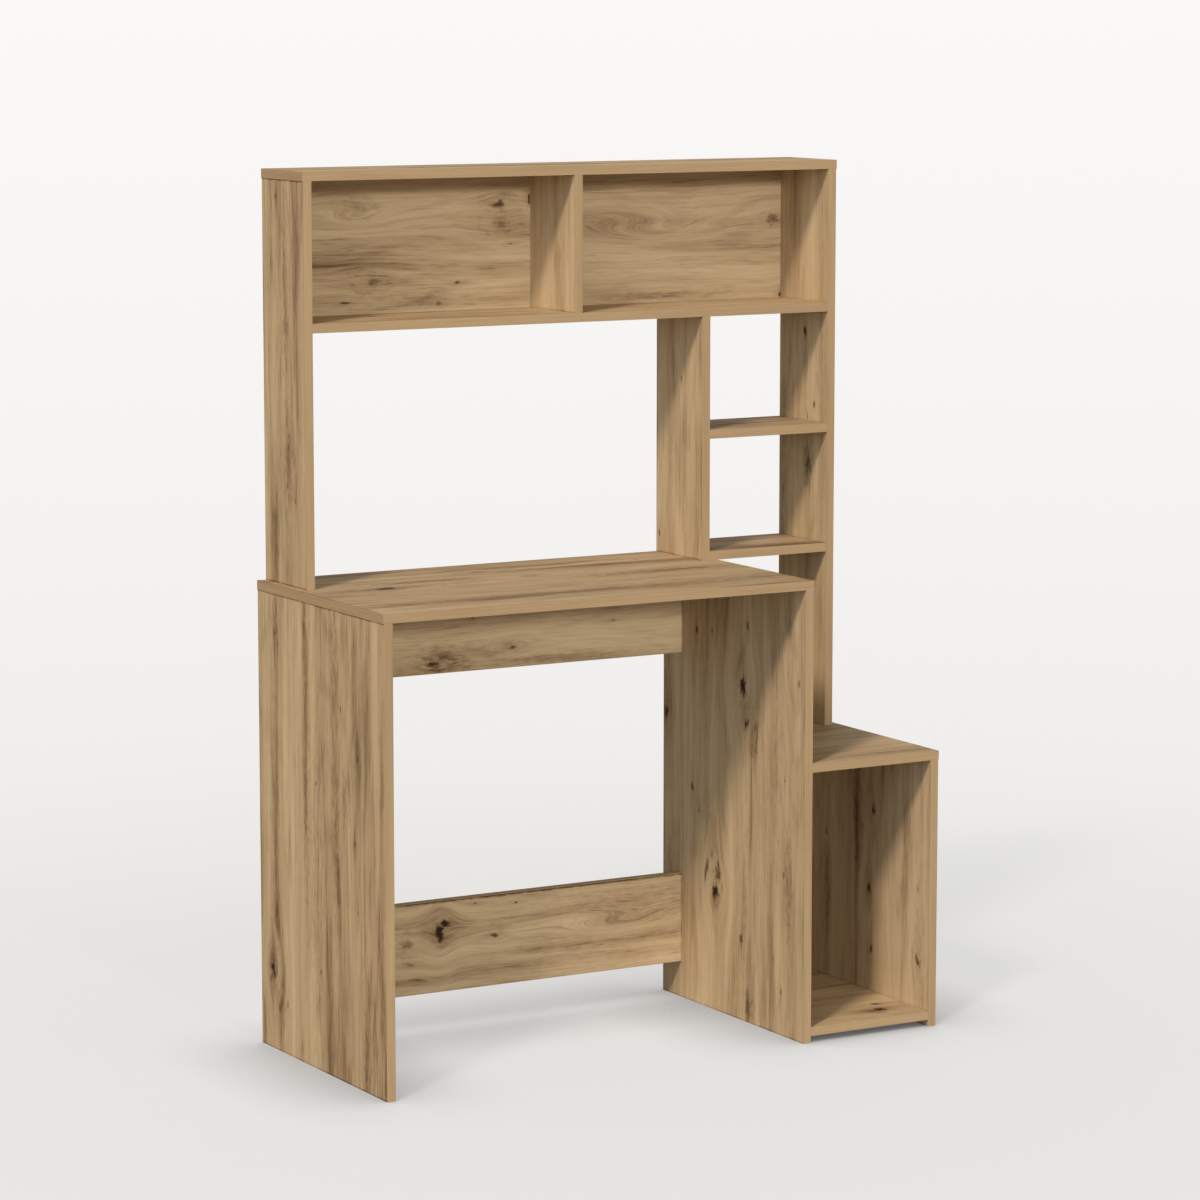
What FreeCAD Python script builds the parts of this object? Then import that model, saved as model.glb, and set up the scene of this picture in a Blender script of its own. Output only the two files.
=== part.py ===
import FreeCAD, Part
import math
import os

# Student desk with a hutch and a low open cabinet, in wood-faced board, held by dowels, cams and screws.
# Millimetres. +X runs to the right and +Y to the back for someone who faces the desk, and +Z is up.
# The origin is on the floor, under the middle of the whole outline.

# Boards, the strips glued to their edges, and the thin back sheet
board_thickness = 15.0
band_thickness = 1.0
sheet_thickness = 3.0

# Desk, with its width over the outer faces of the two sides
desk_width = 775.0
desk_depth = 450.0
desk_height = 762.0
apron_height = 152.0
stretcher_height = 154.0
stretcher_floor_gap = 62.0
rail_setback = 47.0

# Low cabinet on the right, which shares the desk's right side
cabinet_clear_width = 230.0
cabinet_height = 463.0
cabinet_floor_gap = 11.0

# Hutch, with its rise above the desktop, and the margin that hides its back sheet from the side
hutch_depth = 150.0
hutch_rise = 660.0
top_box_clear_height = 223.5
sheet_margin = 2.0

# Room around hidden hardware, and the overrun of a cut past a face
bore_clearance = 0.1
bore_end_room = 1.0
overrun = 1.0

# Dowels, with the part of their length that goes into the board whose face is met
dowel_diameter = 8.0
dowel_length = 30.0
dowel_face_depth = 10.0

# Cams, seen on the face that they are let into, and the reach from a joint to a cam's axis
cam_diameter = 15.0
cam_height = 12.0
cam_reach = 34.0
cam_wall = 1.9
drive_length = 8.0
drive_width = 1.4
drive_depth = 2.2

# Bolts that the cams pull on
bolt_diameter = 5.0
bolt_thread_length = 11.0
bolt_head_diameter = 7.0
bolt_head_length = 3.0

# Screws with sunk heads that come up into the feet of the uprights
screw_diameter = 6.0
screw_length = 50.0
screw_head_diameter = 10.0
screw_head_height = 4.0
screw_socket_width = 4.0
screw_socket_depth = 2.0

# Pins that hold the back sheet
pin_width = 1.4
pin_length = 20.0
pin_head_diameter = 4.0
pin_head_thickness = 0.8

# Flats on the small round hardware and its bores, few because they repeat so often
rod_sides = 10
cam_sides = 16
cavity_sides = 6
socket_sides = 6
pin_sides = 4
pin_head_sides = 6

# Places of the fasteners along an edge, as shares of its length
desktop_cam_shares = (0.2, 0.8)
desktop_dowel_shares = (0.5,)
cam_shares = (0.5,)
dowel_shares = (0.13, 0.87)
screw_shares = (0.27, 0.73)
pin_row_shares = (0.1, 0.37, 0.63, 0.9)

# Levels and places that follow from the sizes above
overall_width = desk_width + cabinet_clear_width + board_thickness + 2 * band_thickness
overall_depth = desk_depth + sheet_thickness + pin_head_thickness
left_x = band_thickness - overall_width / 2
desk_right_x = left_x + desk_width
right_x = desk_right_x + cabinet_clear_width + board_thickness
front_y = -overall_depth / 2
back_y = front_y + desk_depth
hutch_front_y = back_y - hutch_depth
rail_back_y = back_y - rail_setback
desktop_under_z = desk_height - board_thickness
cabinet_top_under_z = cabinet_height - board_thickness
hutch_height = desk_height + hutch_rise
hutch_top_under_z = hutch_height - board_thickness
hutch_shelf_z = hutch_top_under_z - top_box_clear_height
hutch_shelf_under_z = hutch_shelf_z - board_thickness
side_bay_height = (hutch_shelf_under_z - desk_height - 2 * board_thickness) / 2
middle_shelf_under_z = desk_height + board_thickness + side_bay_height
hutch_left_x = left_x + board_thickness
hutch_right_x = right_x - board_thickness
hutch_middle_x = (hutch_left_x + hutch_right_x) / 2

# Each edge's axis and side: 0 for the low side, 1 for the high side
EDGES = {"left": (0, 0), "right": (0, 1), "front": (1, 0), "back": (1, 1), "bottom": (2, 0), "top": (2, 1)}
AXES = (FreeCAD.Vector(1, 0, 0), FreeCAD.Vector(0, 1, 0), FreeCAD.Vector(0, 0, 1))

dowels = []
cams = []
cam_bolts = []
upright_screws = []
back_sheet_pins = []


def block(spans):
    """A box from its three spans, each a low and a high coordinate."""
    sizes = [high - low for low, high in spans]
    corner = FreeCAD.Vector(*[low for low, high in spans])
    return Part.makeBox(*sizes, corner)


def corner_radius(radius, sides=rod_sides):
    """How far the corners of a rod lie from its axis, where its flats lie at the radius."""
    return radius / math.cos(math.pi / sides)


def rod(base, direction, radius, length, sides=rod_sides):
    """A straight rod whose flats lie at the radius, from its base along a direction."""
    corner = corner_radius(radius, sides)
    angles = [math.pi / sides * (2 * step + 1) for step in range(sides + 1)]
    points = [FreeCAD.Vector(corner * math.cos(angle), corner * math.sin(angle), 0) for angle in angles]
    shape = Part.Face(Part.makePolygon(points)).extrude(FreeCAD.Vector(0, 0, length))
    shape.Placement = FreeCAD.Placement(base, FreeCAD.Rotation(AXES[2], direction))
    return shape


class Board:
    """A rectangular board, its glued edge strips, and the bores that its joints cut into it."""

    def __init__(self, name, x, y, z, banded):
        self.name = name
        self.spans = (x, y, z)
        self.banded = banded.split()
        self.bores = []

    def core_spans(self):
        """The board without its edge strips."""
        spans = [list(span) for span in self.spans]
        for edge in self.banded:
            axis, side = EDGES[edge]
            spans[axis][side] += -band_thickness if side else band_thickness
        return spans

    def core(self):
        return block(self.core_spans()).cut(self.bores)

    def bands(self):
        """The strips in the order that they are glued, so that each covers the ends of those before it."""
        covered = self.core_spans()
        strips = []
        for edge in self.banded:
            axis, side = EDGES[edge]
            strip = [tuple(span) for span in covered]
            outer = self.spans[axis][side]
            strip[axis] = sorted((outer, covered[axis][side]))
            covered[axis][side] = outer
            strips.append(block(strip).cut(self.bores))
        return strips

    def thin_axis(self):
        return min(range(3), key=lambda axis: self.spans[axis][1] - self.spans[axis][0])

    def edge_points(self, edge, shares):
        """Points along the middle line of an edge, at shares of its length."""
        axis, side = EDGES[edge]
        thin = self.thin_axis()
        run = 3 - axis - thin
        place = [0, 0, 0]
        place[axis] = self.spans[axis][side]
        place[thin] = sum(self.spans[thin]) / 2
        low, high = self.spans[run]
        points = []
        for share in shares:
            place[run] = low + share * (high - low)
            points.append(FreeCAD.Vector(*place))
        return points


def facing(edge):
    """The direction that an edge or a face looks in."""
    axis, side = EDGES[edge]
    return AXES[axis] if side else -AXES[axis]


def add_dowels(board, edge, other, shares):
    """Dowels from a board's edge into the face of the other board."""
    out = facing(edge)
    end_depth = dowel_length - dowel_face_depth
    radius = dowel_diameter / 2
    for point in board.edge_points(edge, shares):
        dowels.append(rod(point - out * end_depth, out, radius, dowel_length))
        bore_radius = radius + bore_clearance
        board.bores.append(rod(point, -out, bore_radius, end_depth + bore_end_room))
        other.bores.append(rod(point, out, bore_radius, dowel_face_depth + bore_end_room))


def make_cam():
    """A cam about +Z, with its drive cross on top, that holds a bolt along +X.

    Its drum is hollow for the bolt's head, which goes in at -X. Half of the drum's wall is slotted for the
    bolt's shank, so that half a turn brings the jaws round to the pull of the bolt.
    """
    radius = cam_diameter / 2 - bore_clearance
    cavity_radius = radius - cam_wall
    reach = radius + overrun
    bolt_level = -board_thickness / 2
    shank_room = corner_radius(bolt_diameter / 2) + bore_clearance
    head_room = corner_radius(bolt_head_diameter / 2) + bore_clearance
    drum = rod(FreeCAD.Vector(0, 0, -cam_height), AXES[2], radius, cam_height, cam_sides)
    cavity_base = FreeCAD.Vector(0, 0, bolt_level - head_room)
    cavity = rod(cavity_base, AXES[2], cavity_radius, 2 * head_room, cavity_sides)
    shank_span = (bolt_level - shank_room, bolt_level + shank_room)
    head_span = (bolt_level - head_room, bolt_level + head_room)
    jaws = block([(-reach, reach), (-shank_room, reach), shank_span])
    way_in = block([(-reach, 0), (-head_room, head_room), head_span])
    cuts = [cavity, jaws, way_in]
    arm = drive_length / 2
    half = drive_width / 2
    depth_span = (-drive_depth, overrun)
    cuts.append(block([(-arm, arm), (-half, half), depth_span]))
    cuts.append(block([(-half, half), (-arm, arm), depth_span]))
    return drum.cut(cuts)


def add_cams(board, edge, other, face, shares):
    """Cams let into a face of a board, each pulling on a bolt that stands in the other board."""
    out = facing(edge)
    open_side = facing(face)
    cam_radius = cam_diameter / 2 - bore_clearance
    cavity_radius = cam_radius - cam_wall
    head_radius = bolt_head_diameter / 2
    seat = math.sqrt(cavity_radius ** 2 - corner_radius(head_radius) ** 2) - bore_clearance
    bore_depth = cam_height + bore_clearance
    turn = FreeCAD.Rotation(out, open_side.cross(out), open_side)
    for point in board.edge_points(edge, shares):
        place = FreeCAD.Placement(point - out * cam_reach + open_side * (board_thickness / 2), turn)
        cam = make_cam()
        cam.Placement = place
        cams.append(cam)
        shoulder = point - out * (cam_reach - seat)
        shank_length = cam_reach - seat + bolt_thread_length
        shank = rod(shoulder, out, bolt_diameter / 2, shank_length)
        head = rod(shoulder - out * bolt_head_length, out, head_radius, bolt_head_length)
        cam_bolts.append(shank.fuse(head).removeSplitter())
        board.bores.append(rod(point, -out, head_radius + bore_clearance, cam_reach))
        cam_bore = rod(FreeCAD.Vector(0, 0, -bore_depth), AXES[2], cam_diameter / 2, bore_depth, cam_sides)
        cam_bore.Placement = place.multiply(cam_bore.Placement)
        board.bores.append(cam_bore)
        thread_radius = bolt_diameter / 2 + bore_clearance
        other.bores.append(rod(point, out, thread_radius, bolt_thread_length + bore_end_room))


def screw_shape(base, direction, clearance):
    """A screw from the middle of its head along a direction, or its bore where clearance is added."""
    head = rod(base, direction, screw_head_diameter / 2 + clearance, screw_head_height + clearance)
    shank = rod(base, direction, screw_diameter / 2 + clearance, screw_length + clearance)
    return head.fuse(shank).removeSplitter()


def add_screws(board, other, shares):
    """Screws up through the other board into the foot of an upright, with a hexagon socket in each head."""
    up = AXES[2]
    for point in board.edge_points("bottom", shares):
        base = point - up * board_thickness
        socket = rod(base, up, screw_socket_width / 2, screw_socket_depth, socket_sides)
        upright_screws.append(screw_shape(base, up, 0).cut(socket))
        bore = screw_shape(base, up, bore_clearance)
        board.bores.append(bore)
        other.bores.append(bore)


def add_pins(board, sheet, points):
    """Pins through the back sheet into points on the back edge of a board."""
    inward = -AXES[1]
    for point in points:
        base = point - inward * sheet_thickness
        head = rod(base, -inward, pin_head_diameter / 2, pin_head_thickness, pin_head_sides)
        shank = rod(base, inward, pin_width / 2, pin_length, pin_sides)
        back_sheet_pins.append(head.fuse(shank).removeSplitter())
        bore = rod(base, inward, pin_width / 2 + bore_clearance, pin_length + bore_clearance, pin_sides)
        board.bores.append(bore)
        sheet.bores.append(bore)


def desk_boards():
    """The desktop, its two sides, and the two rails between them at the back."""
    depth = (front_y, back_y)
    left_inner_x = left_x + board_thickness
    right_inner_x = desk_right_x - board_thickness
    rail_y = (rail_back_y - board_thickness, rail_back_y)
    side_z = (0, desktop_under_z)
    apron_z = (desktop_under_z - apron_height, desktop_under_z)
    stretcher_z = (stretcher_floor_gap, stretcher_floor_gap + stretcher_height)
    top_x = (left_x - band_thickness, desk_right_x + band_thickness)
    rail_x = (left_inner_x, right_inner_x)
    return (
        Board("desktop", top_x, depth, (desktop_under_z, desk_height), "left right front back"),
        Board("desk_left_side", (left_x, left_inner_x), depth, side_z, "front back"),
        Board("desk_right_side", (right_inner_x, desk_right_x), depth, side_z, "front back"),
        Board("rear_apron", rail_x, rail_y, apron_z, "bottom"),
        Board("lower_stretcher", rail_x, rail_y, stretcher_z, "bottom top"),
    )


def cabinet_boards():
    """The cabinet's top, bottom and right side. Its left wall is the desk's right side."""
    depth = (front_y, back_y)
    inner_x = right_x - board_thickness
    bottom_z = (cabinet_floor_gap, cabinet_floor_gap + board_thickness)
    top_z = (cabinet_top_under_z, cabinet_height)
    return (
        Board("cabinet_top", (desk_right_x, right_x + band_thickness), depth, top_z, "right front back"),
        Board("cabinet_bottom", (desk_right_x, inner_x), depth, bottom_z, "front back"),
        Board("cabinet_right_side", (inner_x, right_x), depth, (0, cabinet_top_under_z), "front back"),
    )


def hutch_uprights():
    """The left upright and the divider stand on the desktop, and the tall right one on the cabinet."""
    depth = (hutch_front_y, back_y)
    divider_right_x = desk_right_x - board_thickness
    left = (hutch_left_x, hutch_left_x + board_thickness)
    divider = (divider_right_x - board_thickness, divider_right_x)
    right = (hutch_right_x - board_thickness, hutch_right_x)
    return (
        Board("hutch_left_upright", left, depth, (desk_height, hutch_top_under_z), "front back"),
        Board("hutch_divider_upright", divider, depth, (desk_height, hutch_shelf_under_z), "front back"),
        Board("hutch_right_upright", right, depth, (cabinet_height, hutch_top_under_z), "front back"),
    )


def hutch_boards(left, divider, right):
    """The top, the top box's floor and divider, and the two side shelves, set between the uprights."""
    depth = (hutch_front_y, back_y)
    top_x = (hutch_left_x - band_thickness, hutch_right_x + band_thickness)
    box_x = (left.spans[0][1], right.spans[0][0])
    side_x = (divider.spans[0][1], right.spans[0][0])
    centre_x = (hutch_middle_x - board_thickness / 2, hutch_middle_x + board_thickness / 2)
    lower_z = (desk_height, desk_height + board_thickness)
    middle_z = (middle_shelf_under_z, middle_shelf_under_z + board_thickness)
    return (
        Board("hutch_top", top_x, depth, (hutch_top_under_z, hutch_height), "left right front back"),
        Board("hutch_shelf", box_x, depth, (hutch_shelf_under_z, hutch_shelf_z), "front back"),
        Board("hutch_centre_divider", centre_x, depth, (hutch_shelf_z, hutch_top_under_z), "front"),
        Board("side_shelf_middle", side_x, depth, middle_z, "front back"),
        Board("side_shelf_lower", side_x, depth, lower_z, "front back"),
    )


def hutch_back_sheet():
    """The thin sheet on the back edges of the top box."""
    x = (hutch_left_x + sheet_margin, hutch_right_x - sheet_margin)
    z = (hutch_shelf_under_z + sheet_margin, hutch_height - sheet_margin)
    return Board("hutch_back_sheet", x, (back_y, back_y + sheet_thickness), z, "")


def join_desk(desktop, left_side, right_side, apron, stretcher):
    """Cams sit where someone in front of the desk and to its left doesn't see them."""
    for side in (left_side, right_side):
        add_cams(side, "top", desktop, "right", desktop_cam_shares)
        add_dowels(side, "top", desktop, desktop_dowel_shares)
    for rail in (apron, stretcher):
        for edge, side in (("left", left_side), ("right", right_side)):
            add_cams(rail, edge, side, "back", cam_shares)
            add_dowels(rail, edge, side, dowel_shares)


def join_cabinet(top, bottom, right_side, desk_side):
    """The right side stands under the top, and the level boards meet the upright ones with their ends."""
    add_cams(right_side, "top", top, "right", cam_shares)
    add_dowels(right_side, "top", top, dowel_shares)
    level_ends = ((top, "left", desk_side), (bottom, "left", desk_side), (bottom, "right", right_side))
    for board, edge, side in level_ends:
        add_cams(board, edge, side, "bottom", cam_shares)
        add_dowels(board, edge, side, dowel_shares)


def join_hutch(uprights, boards, sheet, desktop, cabinet_top):
    """Screws hold the uprights, cams the top box, dowels the side shelves, and pins the back sheet."""
    left, divider, right = uprights
    top, shelf, centre, middle_shelf, lower_shelf = boards
    for upright, base in ((left, desktop), (divider, desktop), (right, cabinet_top)):
        add_screws(upright, base, screw_shares)
    for upright, edge in ((left, "left"), (right, "right")):
        add_cams(upright, "top", top, "right", cam_shares)
        add_dowels(upright, "top", top, dowel_shares)
        add_cams(shelf, edge, upright, "bottom", cam_shares)
        add_dowels(shelf, edge, upright, dowel_shares)
    add_dowels(divider, "top", shelf, dowel_shares)
    add_dowels(centre, "top", top, dowel_shares)
    add_dowels(centre, "bottom", shelf, dowel_shares)
    for board in (middle_shelf, lower_shelf):
        add_dowels(board, "left", divider, dowel_shares)
        add_dowels(board, "right", right, dowel_shares)
    for board in (top, shelf):
        add_pins(board, sheet, board.edge_points("back", pin_row_shares))
    box_middle_z = (hutch_shelf_z + hutch_top_under_z) / 2
    for board in (left, centre, right):
        middle_x = sum(board.spans[0]) / 2
        add_pins(board, sheet, [FreeCAD.Vector(middle_x, back_y, box_middle_z)])


def export(name, solids):
    """Writes one node, whose pieces stay separate solids."""
    shape = solids[0] if len(solids) == 1 else Part.makeCompound(solids)
    shape.exportStep(f"parts/{name}.step")


def main():
    desk = desk_boards()
    cabinet = cabinet_boards()
    uprights = hutch_uprights()
    hutch = hutch_boards(*uprights)
    sheet = hutch_back_sheet()
    join_desk(*desk)
    join_cabinet(*cabinet, desk[2])
    join_hutch(uprights, hutch, sheet, desk[0], cabinet[0])
    os.makedirs("parts", exist_ok=True)
    for board in (*desk, *cabinet, *uprights, *hutch, sheet):
        export(board.name, [board.core()])
        if board.banded:
            export(f"{board.name}_edge_band", board.bands())
    export("dowels", dowels)
    export("cams", cams)
    export("cam_bolts", cam_bolts)
    export("upright_screws", upright_screws)
    export("back_sheet_pins", back_sheet_pins)


main()
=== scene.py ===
import bpy
import math
from mathutils import Euler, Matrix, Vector


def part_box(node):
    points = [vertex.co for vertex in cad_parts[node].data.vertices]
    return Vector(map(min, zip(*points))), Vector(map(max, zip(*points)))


# Looks of the student desk with a hutch: oak-print boards, edge strips, raw cores and hidden hardware.
# Metres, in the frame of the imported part: +X to the right, +Y to the back, +Z up.
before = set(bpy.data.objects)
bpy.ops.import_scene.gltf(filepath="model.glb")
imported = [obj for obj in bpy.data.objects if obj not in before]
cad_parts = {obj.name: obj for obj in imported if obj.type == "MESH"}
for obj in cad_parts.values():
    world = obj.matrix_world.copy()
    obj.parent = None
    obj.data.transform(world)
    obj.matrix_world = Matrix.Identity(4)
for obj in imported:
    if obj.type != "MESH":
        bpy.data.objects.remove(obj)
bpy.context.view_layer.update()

# Camera, as seen from the front left and a little above the hutch
CAMERA_PLACE = (-3.447, -6.038, 1.697)
CAMERA_YAW = math.radians(29.706)
CAMERA_PITCH = math.radians(7.988)
CAMERA_LENS = 129.58
SENSOR_WIDTH = 36.0

# Lamps: the way that their light travels, their strength, how wide they look and their tint
KEY_WAY = (1.45, 1.0, -1.60)
KEY_STRENGTH = 2.0
KEY_ANGLE = math.radians(9)
KEY_TINT = (1.10, 1.0, 0.92)
FRONT_WAY = (0.03, 1.0, -0.19)
FRONT_STRENGTH = 1.35
FRONT_ANGLE = math.radians(6)
FRONT_TINT = (0.96, 1.0, 1.05)
FILL_WAY = (0.90, 0.60, -0.12)
FILL_STRENGTH = 0.82
FILL_ANGLE = math.radians(50)
FILL_TINT = (0.74, 1.0, 1.28)
REAR_WAY = (-0.5, -1.0, -0.08)
REAR_STRENGTH = 0.45
REAR_ANGLE = math.radians(60)
REAR_TINT = (1.0, 1.0, 1.0)

# Light from all round, and its share straight overhead
AROUND_STRENGTH = 0.56
AROUND_TINT = (0.94, 1.0, 0.97)
OVERHEAD_SHARE = 0.2

# Floor and backdrop, pale grey that lightens away from the desk, with a contact shade close to it
FLOOR_SIZE = 400.0
FLOOR_ALBEDO = (0.80, 0.79, 0.77)
FLOOR_BOUNCE = (0.40, 0.39, 0.38)
BACKDROP_COLOUR = (0.954, 0.945, 0.928)
BACKDROP_FALL = 0.57
BACKDROP_REACH = 3.7
FLOOR_GLOW_SHARE = 0.80
FLOOR_SHADE_NEAR = 0.9
FLOOR_SHADE_FAR = 3.0
CONTACT_REACH = 0.22
CONTACT_SHADE = 0.9
CONTACT_SAMPLES = 4

# Axes along the grain, across it and through the board, and the same for a strip on a board's end
UPRIGHT = (2, 1, 0)
FLAT = (0, 1, 2)
RAIL = (0, 2, 1)
END_STRIP = (1, 2, 0)

# Noise layers of the oak print: waves to the metre on each of those axes, detail and roughness
WANDER_NOISE = ((2.2, 9.0, 3.0), 2.0, 0.5)
TONE_NOISE = ((1.0, 12.0, 5.0), 1.0, 0.5)
BAND_NOISE = ((1.2, 40.0, 12.0), 1.0, 0.5)
SMOKE_NOISE = ((3.0, 21.0, 8.0), 3.0, 0.6)
VEIN_NOISE = ((3.0, 115.0, 20.0), 2.0, 0.6)
LINE_NOISE = ((6.0, 350.0, 70.0), 2.0, 0.6)
FIBRE_NOISE = ((45.0, 1000.0, 200.0), 1.0, 0.5)
PORE_NOISE = ((22.0, 480.0, 150.0), 1.0, 0.5)
HILL_NOISE = ((0.9, 9.0, 4.0), 1.0, 0.5)
NOISE_MIDDLE = 0.5

# How far the grain wanders, and which part of a layer's range it goes dark over
WANDER_REACH = 0.024
SMOKE_RANGE = (0.47, 0.70)
PORE_RANGE = (0.57, 0.68)
RING_RANGE = (0.3, 1.0)
RING_COUNT = 15.0
RING_RAGGED = 0.4

# How much each layer lightens or darkens the print, and how much of a mark's shade shows on it
PLAIN_LIGHT = 0.79
TONE_WEIGHT = 0.85
BAND_WEIGHT = 0.75
VEIN_WEIGHT = 0.40
LINE_WEIGHT = 0.56
FIBRE_WEIGHT = 0.26
SMOKE_WEIGHT = 0.30
PORE_WEIGHT = 0.19
RING_WEIGHT = 0.10
SHADE_EVEN = 0.20
SHADE_BY_LINE = 0.20
SHADE_BY_VEIN = 0.40

# Colours of the print, from its darkest streaks to its palest wood, and of a knot's halo and heart
OAK_STOPS = (
    (0.00, (0.120, 0.066, 0.031)),
    (0.19, (0.225, 0.138, 0.067)),
    (0.34, (0.338, 0.220, 0.116)),
    (0.46, (0.425, 0.285, 0.154)),
    (0.60, (0.495, 0.342, 0.187)),
    (0.75, (0.560, 0.398, 0.223)),
    (1.00, (0.650, 0.475, 0.272)),
)
OAK_RANGE = 0.75
HALO_COLOUR = (0.165, 0.092, 0.043)
HALO_RANGE = (0.08, 0.85)
KNOT_COLOUR = (0.036, 0.020, 0.012)
KNOT_RANGE = (0.5, 1.1)

# Gloss and relief of the print
GLOSS_LEVEL = 0.01
OAK_ROUGHNESS = 0.60
OAK_ROUGHNESS_BY_LINE = -0.16
FIBRE_RISE = 0.4
LINE_RISE = 0.6
PORE_RISE = -0.5
KNOT_RISE = -0.8

# Seams beside the strips, and at a board's ends a joint line with painted shade from the next board
SEAM_WIDTH = 0.0022
SEAM_SHADE = 0.35
END_JOINT_AND_PAINTED_SHADE_WIDTH = 0.0035
END_JOINT_AND_PAINTED_SHADE = 1.0

# Knots, eyes and cracks: their reach by their size, the shade round them and the ring of an eye
KNOT_LENGTH = 1.6
KNOT_WIDTH = 0.8
KNOT_SHADE = 0.9
EYE_LENGTH = 1.8
EYE_WIDTH = 0.9
EYE_SHADE = 0.7
EYE_RING = 0.9
CRACK_SHADE = 0.9
CRACK_RING = 0.25

# How a mark fades: its tails, its heart, the broken ring round an eye and the bend of the grain beside it
TAIL_FALL_ALONG = 0.06
TAIL_FALL_ACROSS = 0.5
TAIL_SHADE = 0.8
HEART_POWER = 1.3
HEART_FALL = 1.7
EYE_RING_REACH = 2.1
EYE_RING_FALL = 3.0
EYE_RING_BREAKS = (-0.4, 0.5)
BEND_FALL = 0.10
BEND_DEPTH = 0.85
MARK_WARP_WAVES = (55.0, 120.0, 30.0)
MARK_WARP_DETAIL = 3.0
MARK_WARP_ROUGHNESS = 0.65
MARK_WARP = 1.2

# Arches: their round tips, slopes and ragged lines, the step from line to line and the shade
ARCH_TIP = 0.004
ARCH_SLOPE_ALONG = 0.22
ARCH_SLOPE_ACROSS = 0.9
ARCH_NOISE = ((8.0, 30.0, 10.0), 2.0, 0.6)
ARCH_RAGGED = 0.005
ARCH_STEP = 0.0042
ARCH_SHADE = 0.42

# Where a face counts as looking along an axis, by the share of its normal
FACING_RANGE = (0.5, 0.6)
# Depth in metres and strength of the relief
BOARD_BUMP = (0.0004, 0.35)
STRIP_BUMP = (0.0003, 0.3)
METAL_BUMP = (0.0002, 0.25)
DOWEL_BUMP = (0.0003, 0.3)
# Values of a noise at which a two-tone finish is darkest and palest
TWO_TONE_RANGE = (0.3, 0.7)

# Raw particle board
CHIP_WAVES = (420.0, 420.0, 650.0)
CHIP_NOISE = ((1500.0, 1500.0, 1500.0), 2.0, 0.5)
CHIP_WEIGHT = 0.6
CHIP_NOISE_WEIGHT = 0.5
CHIP_STOPS = ((0.15, (0.20, 0.125, 0.065)), (0.5, (0.36, 0.25, 0.14)), (0.9, (0.52, 0.39, 0.24)))
CHIP_ROUGHNESS = 0.82
CHIP_ROUGHNESS_BY_NOISE = 0.1

# Hardboard behind the back sheet
FELT_NOISE = ((260.0, 260.0, 260.0), 4.0, 0.65)
FELT_DARK = (0.115, 0.066, 0.034)
FELT_PALE = (0.215, 0.133, 0.072)
FELT_ROUGHNESS = 0.65
FELT_ROUGHNESS_BY_NOISE = 0.2

# Edge strips, with their eased edges
STRIP_WANDER_NOISE = ((4.0, 20.0, 20.0), 2.0, 0.5)
STRIP_WANDER_REACH = 0.006
STRIP_TONE_NOISE = ((2.2, 30.0, 30.0), 2.0, 0.5)
STRIP_TONE_WEIGHT = 0.9
STRIP_LINE_NOISE = ((7.0, 420.0, 420.0), 3.0, 0.6)
STRIP_LINE_WEIGHT = 0.9
STRIP_LIGHT = 0.5
STRIP_STOPS = (
    (0.0, (0.300, 0.190, 0.095)),
    (0.4, (0.376, 0.247, 0.129)),
    (0.7, (0.418, 0.278, 0.147)),
    (1.0, (0.456, 0.309, 0.168)),
)
STRIP_ROUGHNESS = 0.56
STRIP_ROUGHNESS_BY_LINE = -0.14
STRIP_NAMES = {UPRIGHT: "upright_strip_finish", FLAT: "flat_strip_finish", RAIL: "rail_strip_finish"}
WELD_REACH = 0.00001
EASED_WIDTH = 0.00035
EASED_STEPS = 2
SHARP_ANGLE = math.radians(40)

# Metal fittings: darkest and palest colour and least roughness
ZINC = ((0.34, 0.35, 0.36), (0.55, 0.56, 0.57), 0.32)
STEEL = ((0.42, 0.42, 0.41), (0.64, 0.64, 0.62), 0.22)
STEEL_NODES = ("cam_bolts", "upright_screws", "back_sheet_pins")
GRIT_NOISE = ((900.0, 900.0, 900.0), 3.0, 0.6)
GRIT_WEIGHT = 0.4
CLOUD_NOISE = ((120.0, 120.0, 120.0), 2.0, 0.5)
CLOUD_WEIGHT = 0.6
METAL_ROUGHNESS_BY_GRIT = 0.3

# Beech dowels
FLECK_NOISE = ((700.0, 700.0, 700.0), 3.0, 0.6)
BEECH_DARK = (0.42, 0.28, 0.16)
BEECH_PALE = (0.60, 0.43, 0.27)
BEECH_ROUGHNESS = 0.55
BEECH_ROUGHNESS_BY_FLECK = 0.15


def knot(along, across, size, dark):
    """A mark with a dark heart, at a place along and across the grain."""
    return (along, across, KNOT_LENGTH * size, KNOT_WIDTH * size, KNOT_SHADE, dark, 0.0)


def eye(along, across, size, dark):
    """A large knot, with a dark ring round a paler one round its heart."""
    return (along, across, EYE_LENGTH * size, EYE_WIDTH * size, EYE_SHADE, dark, EYE_RING)


def crack(along, across, length, width, dark):
    """A dark heart with its own reach along and across the grain."""
    return (along, across, length, width, CRACK_SHADE, dark, CRACK_RING)


def streak(along, across, length, width, shade):
    """A smoky band without a heart. A few of them are painted shade instead."""
    return (along, across, length, width, shade, 0.0, 0.0)
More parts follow.
